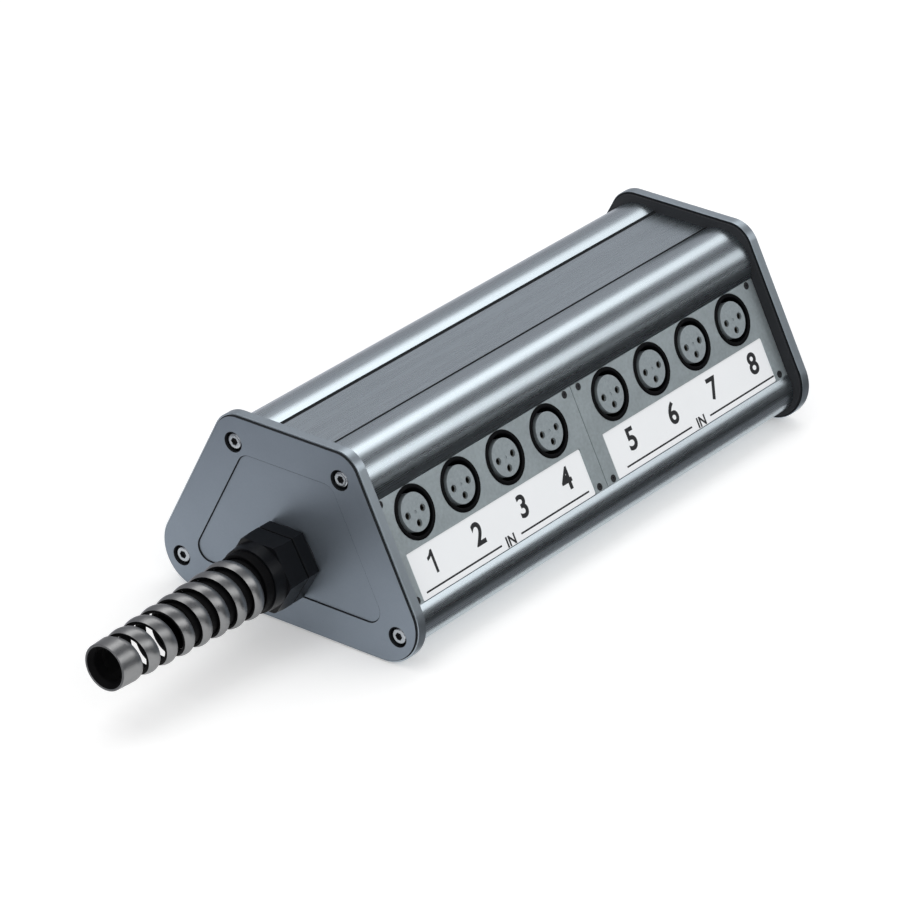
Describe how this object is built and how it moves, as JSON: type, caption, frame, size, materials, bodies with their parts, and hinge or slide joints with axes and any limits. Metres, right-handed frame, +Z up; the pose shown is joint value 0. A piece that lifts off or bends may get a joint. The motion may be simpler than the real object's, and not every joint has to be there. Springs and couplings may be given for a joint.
{
  "type": "stage box snake",
  "caption": "Trapezoid aluminium stage box with numbered three-contact sockets on a sloping face and a cable gland with a spiral bend relief on one end.",
  "frame": {"origin": "on the surface that the box stands on, under the middle of its whole length with the bend relief, and midway between its two long sides", "axes": "+X runs along the box, away from the cable gland; -Y is the side with the sockets; +Z is up"},
  "size_m": [0.3912, 0.1326, 0.0874],
  "materials": {
    "satin_aluminium": "satin anodised extrusion with fine lines along its length",
    "plate_aluminium": "blue-grey satin cast plate with a softly rounded rim",
    "gasket_rubber": "matt black",
    "bright_steel": "bright plated",
    "panel_metal": "light grey with a fine mottled texture",
    "black_steel": "black oxide",
    "label_white": "smooth white film",
    "socket_black": "smooth black moulding",
    "insert_grey": "light grey, mottled as the panel",
    "contact_metal": "silver plated",
    "board_green": "green solder mask",
    "header_black": "moulded black",
    "standoff_brass": "turned, nickel free",
    "locknut_metal": "nickel plated",
    "claw_white": "natural nylon",
    "gland_black": "moulded black nylon with a soft gloss",
    "spiral_black": "moulded black nylon with a soft gloss"
  },
  "bodies": {
    "box": {"housing_profile": "satin_aluminium", "end_plate_cable": "plate_aluminium", "end_plate_blank": "plate_aluminium", "end_gasket_cable": "gasket_rubber", "end_gasket_blank": "gasket_rubber", "end_screws_cable": "bright_steel", "end_screws_blank": "bright_steel", "connector_panel_1": "panel_metal", "connector_panel_2": "panel_metal", "panel_screws_1": "black_steel", "panel_screws_2": "black_steel", "label_strip_1": "label_white", "label_strip_2": "label_white", "socket_shell_1": "socket_black", "socket_shell_2": "socket_black", "socket_shell_3": "socket_black", "socket_shell_4": "socket_black", "socket_shell_5": "socket_black", "socket_shell_6": "socket_black", "socket_shell_7": "socket_black", "socket_shell_8": "socket_black", "socket_insert_1": "insert_grey", "socket_insert_2": "insert_grey", "socket_insert_3": "insert_grey", "socket_insert_4": "insert_grey", "socket_insert_5": "insert_grey", "socket_insert_6": "insert_grey", "socket_insert_7": "insert_grey", "socket_insert_8": "insert_grey", "socket_contacts_1": "contact_metal", "socket_contacts_2": "contact_metal", "socket_contacts_3": "contact_metal", "socket_contacts_4": "contact_metal", "socket_contacts_5": "contact_metal", "socket_contacts_6": "contact_metal", "socket_contacts_7": "contact_metal", "socket_contacts_8": "contact_metal", "circuit_board_1": "board_green", "circuit_board_2": "board_green", "board_header_1": "header_black", "board_header_2": "header_black", "board_standoffs_1": "standoff_brass", "board_standoffs_2": "standoff_brass", "board_screws_1": "bright_steel", "board_screws_2": "bright_steel", "gland_body": "gland_black", "gland_washer": "gasket_rubber", "gland_locknut": "locknut_metal"},
    "claw": {"gland_claw": "claw_white", "gland_seal": "gasket_rubber"},
    "cap_nut": {"gland_cap_nut": "gland_black", "bend_relief_spiral": "spiral_black", "bend_relief_sleeve": "gland_black"}
  },
  "joints": [
    {"name": "claw_slide", "type": "slide", "parent": "box", "child": "claw", "axis": [-1, 0, 0], "range_m": [0, 0.00751]},
    {"name": "cap_nut_turn", "type": "hinge", "parent": "claw", "child": "cap_nut", "pos_m": [-0.0956, 0, 0.0306], "axis": [-1, 0, 0], "range_deg": [0, 1800]}
  ],
  "couplings": [
    {"joint": "claw_slide", "follows": "cap_nut_turn", "m_per_rad": 0.00023873}
  ]
}
